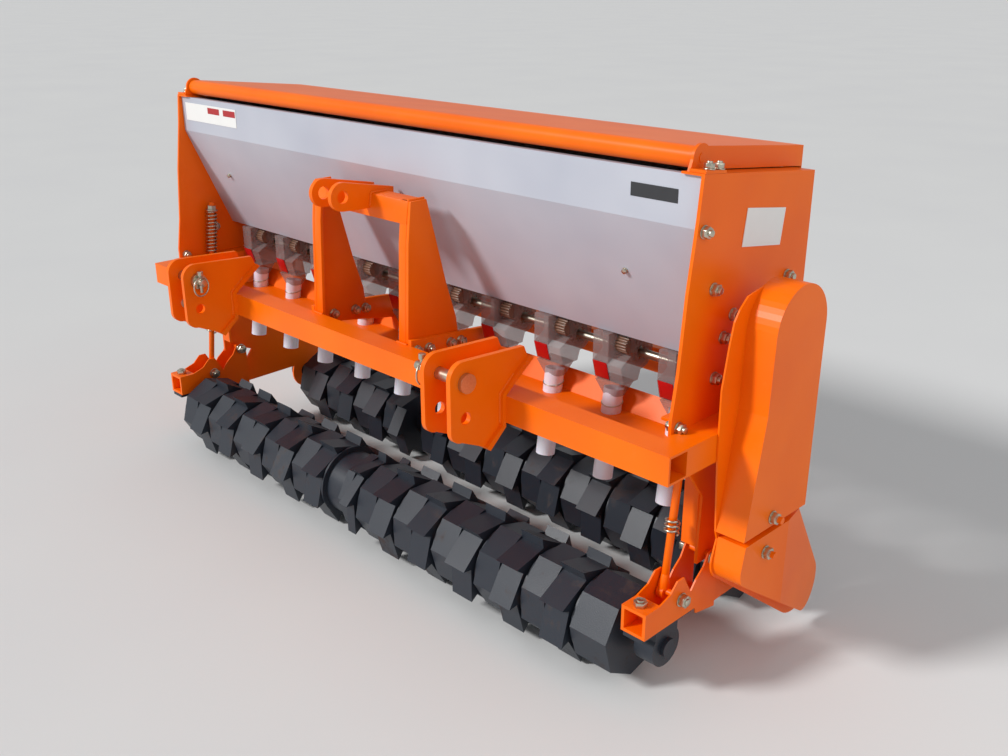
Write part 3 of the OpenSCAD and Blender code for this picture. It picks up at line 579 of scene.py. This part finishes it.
# %% Chutes, red flaps and ribbed covers
COVER_WIDE, COVER_RADIUS, RIBS, RIB_TURN = 26, 13, 7, 23
chute_side = [(-60, 575), (-60.4, 518), (-56, 520), (-32.4, 533.6), (-32.4, 575)]
flap_side = [(-63, 519), (-61.2, 519), (-51.2, 484), (-53, 484)]
amber_moulded, tree = blank_material("amber_moulded_nylon")
close(tree, mix(tree, noise(tree, 12), "#6B4B3C", "#8A6A54"), 0.35)
chutes, flaps, covers = [], [], []
for number in range(METERS):
    meter_x = (number - (METERS - 1) / 2) * PITCH
    chutes.append(sheet(chute_side, meter_x - 33, meter_x + 4))
    flaps.append(sheet(flap_side, meter_x - 31, meter_x + 2))
    parts = [turned(COVER_RADIUS, 0, COVER_WIDE)]
    for rib in range(RIBS):
        angle = math.radians(110 + RIB_TURN * rib)
        rod = turned(2.6, 0, COVER_WIDE, sides=8)
        rod.data.transform(Matrix.Translation(
            Vector((-math.sin(angle), math.cos(angle), 0)) * (COVER_RADIUS + 1) * MM))
        parts.append(rod)
    cover = joined(parts)
    cover.data.transform(Matrix.Translation(at(meter_x + 6, -30, 552)) @ Matrix.Rotation(
        QUARTER_TURN, 4, "Y"))
    covers.append(cover)
chutes, flaps, covers = joined(chutes), joined(flaps), joined(covers)
for piece in (chutes, flaps, covers):
    soften(piece, 0.5)
settle(chutes, "meter_chutes", "smoky_plastic", ["meter_shutters"])
settle(flaps, "meter_flaps", "red_plastic")
settle(covers, "meter_fluted_covers", "smoky_plastic", finish=amber_moulded)

# %% [markdown]
# ## The left side rail
# The rod passes the rail where it leans, so the rail is drawn again without the
# upright hole. It is a box whose ends are taken off and whose wall is then given
# its thickness, as a rolled square tube is.

# %% Square tube of the left rail
RAIL_LOW, RAIL_HIGH, RAIL_WALL = Vector((-777, -228, 454)), Vector((-727, 155, 504)), 4
bpy.ops.object.select_all(action="DESELECT")
bpy.ops.mesh.primitive_cube_add(size=1, location=(0, 0, 0))
rail = bpy.context.object
rail.scale = (RAIL_HIGH - RAIL_LOW) * MM
rail.location = at(*((RAIL_LOW + RAIL_HIGH) / 2))
bpy.ops.object.transform_apply(location=True, rotation=True, scale=True)
bpy.ops.object.mode_set(mode="EDIT")
bpy.ops.mesh.select_mode(type="FACE")
bpy.ops.mesh.select_all(action="DESELECT")
bpy.ops.object.mode_set(mode="OBJECT")
for face in rail.data.polygons:
    face.select = abs(face.normal.y) > 0.9
bpy.ops.object.mode_set(mode="EDIT")
bpy.ops.mesh.delete(type="FACE")
bpy.ops.object.mode_set(mode="OBJECT")
apply_modifier(rail, "SOLIDIFY", thickness=RAIL_WALL * MM, offset=-1.0, use_even_offset=True)
soften(rail, 0.8)
settle(rail, "side_rail_left_tube", "orange_paint", ["side_rail_left"])

# %% [markdown]
# ## Weld beads
# The ears, the mast and the rails are welded. A hand-laid bead is a row of small
# overlapping humps, so one small ball goes along each seam with an array.

# %% Beads along the seams
BEAD_RADIUS, BEAD_STEP = 3.0, 3.4


def bead(start, end):
    """A row of humps from one place to another."""
    start, end = at(*start), at(*end)
    bpy.ops.object.select_all(action="DESELECT")
    bpy.ops.mesh.primitive_uv_sphere_add(segments=8, ring_count=6, radius=BEAD_RADIUS * MM)
    hump = bpy.context.object
    hump.data.transform(Matrix.Translation(start))
    count = max(2, round((end - start).length / (BEAD_STEP * MM)))
    apply_modifier(hump, "ARRAY", count=count, use_relative_offset=False,
                   use_constant_offset=True, constant_offset_displace=(end - start) / (count - 1))
    bpy.ops.object.shade_smooth()
    return hump


HITCH_X, EAR_IN, EAR_OUT = 437.5, 28, 38
seams = []
for side in (1, -1):
    for ear in (EAR_IN, -EAR_IN, EAR_OUT, -EAR_OUT):
        x = side * HITCH_X + ear
        seams.append(bead((x, -286, 456), (x, -286, 504)))
        seams.append(bead((x, -286, 508), (x, -254, 536)))
    seams.append(bead((side * HITCH_X - 46, -227, 500), (side * HITCH_X + 46, -227, 500)))
    seams.append(bead((side * (MAST_OUT - 4), -229, 504), (side * (MAST_OUT - 30), -229, 504)))
    plate_x = side * (MAST_OUT - MAST_SHEET)
    seams.append(bead((plate_x, -206, 786), (plate_x, -170, 786)))
    for lug in (25, 37):
        seams.append(bead((side * lug, -206, 786), (side * lug, -170, 786)))
        seams.append(bead((side * lug, -211, 762), (side * lug, -208, 784)))
settle(joined(seams), "weld_beads", "orange_paint")

# %% [markdown]
# ## Blank labels
# Film labels sit on the hopper's front band. They are left bare, as thin sheets
# with round corners, so only their place and colour are told.

# %% Labels on the hopper
BAND_Y = -155


def label(name, x, z, wide, high, slot, finish=None, proud=0.9):
    """A thin film on the front band of the hopper, so far proud of it."""
    film = sheet([(BAND_Y - proud, z), (BAND_Y - proud, z + high), (BAND_Y - 0.2, z + high),
                  (BAND_Y - 0.2, z)], x, x + wide)
    apply_modifier(film, "BEVEL", width=0.2 * MM, segments=1, limit_method="ANGLE")
    settle(film, name, slot, finish=finish)


red_film, tree = blank_material("red_label_film")
close(tree, mix(tree, noise(tree, 50), "#B8262A", "#A81F24"), 0.4)
dark_film, tree = blank_material("dark_anodised_plate")
close(tree, mix(tree, noise(tree, 30), "#2A2B2E", "#38393C"), 0.38)
label("label_strip", -760, 850, 230, 42, "white_label")
label("label_red_one", -655, 873, 52, 14, "white_label", red_film, proud=1.5)
label("label_red_two", -585, 873, 52, 14, "white_label", red_film, proud=1.5)
label("maker_plate_blank", 640, 858, 92, 22, "white_label", dark_film)
